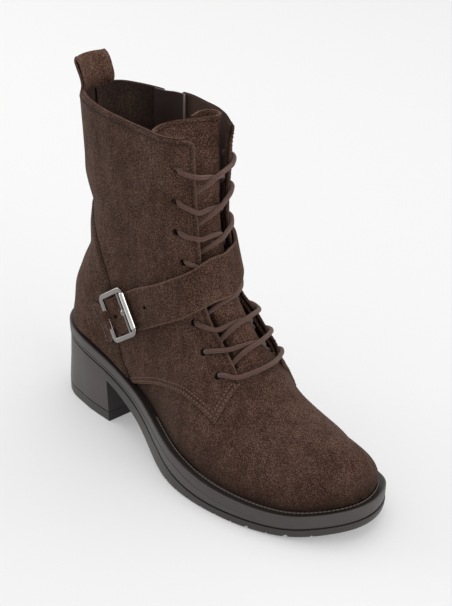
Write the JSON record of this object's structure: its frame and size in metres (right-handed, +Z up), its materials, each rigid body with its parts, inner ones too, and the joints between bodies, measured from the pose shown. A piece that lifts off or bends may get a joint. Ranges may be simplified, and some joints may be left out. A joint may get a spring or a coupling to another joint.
{
  "type": "buckle boot",
  "caption": "Right-foot suede ankle boot with laces, a buckled strap over the instep, an inside zip, a pull loop, a block heel and a lugged rubber sole.",
  "frame": {"origin": "middle of the boot's box, on the floor", "axes": "+X from the heel to the toe, +Y to the inner (medial) side, +Z up"},
  "size_m": [0.2618, 0.099, 0.2319],
  "materials": {
    "suede": "napped dark brown suede",
    "leather": "smooth dark leather",
    "sole_rubber": "satin, finely ribbed",
    "lace_cord": "round woven cord",
    "nickel": "polished nickel",
    "zip_metal": "dark metal"
  },
  "bodies": {
    "boot": {"upper": "suede", "heel_counter": "suede", "quarter_lateral": "suede", "quarter_medial": "suede", "quarter_medial_rear": "suede", "tongue": "suede", "instep_strap": "suede", "strap_base": "suede", "pull_loop": "suede", "insole": "leather", "zip_guard": "leather", "outsole": "sole_rubber", "midsole": "sole_rubber", "welt": "sole_rubber", "heel_block": "sole_rubber", "heel_toplift": "sole_rubber", "lace_cross_1": "lace_cord", "lace_cross_2": "lace_cord", "lace_cross_3": "lace_cord", "lace_cross_4": "lace_cord", "lace_cross_5": "lace_cord", "lace_cross_6": "lace_cord", "lace_cross_7": "lace_cord", "lace_bar": "lace_cord", "buckle_frame": "nickel", "buckle_pin": "nickel", "zip_chain": "zip_metal", "zip_slider": "zip_metal"},
    "pull_tab": {"zip_pull": "zip_metal"}
  },
  "joints": [
    {"name": "pull_tab_hinge", "type": "hinge", "parent": "boot", "child": "pull_tab", "pos_m": [-0.06745, 0.0349, 0.18495], "axis": [0.9929, 0.1171, 0.0199], "range_deg": [0, 165]}
  ]
}
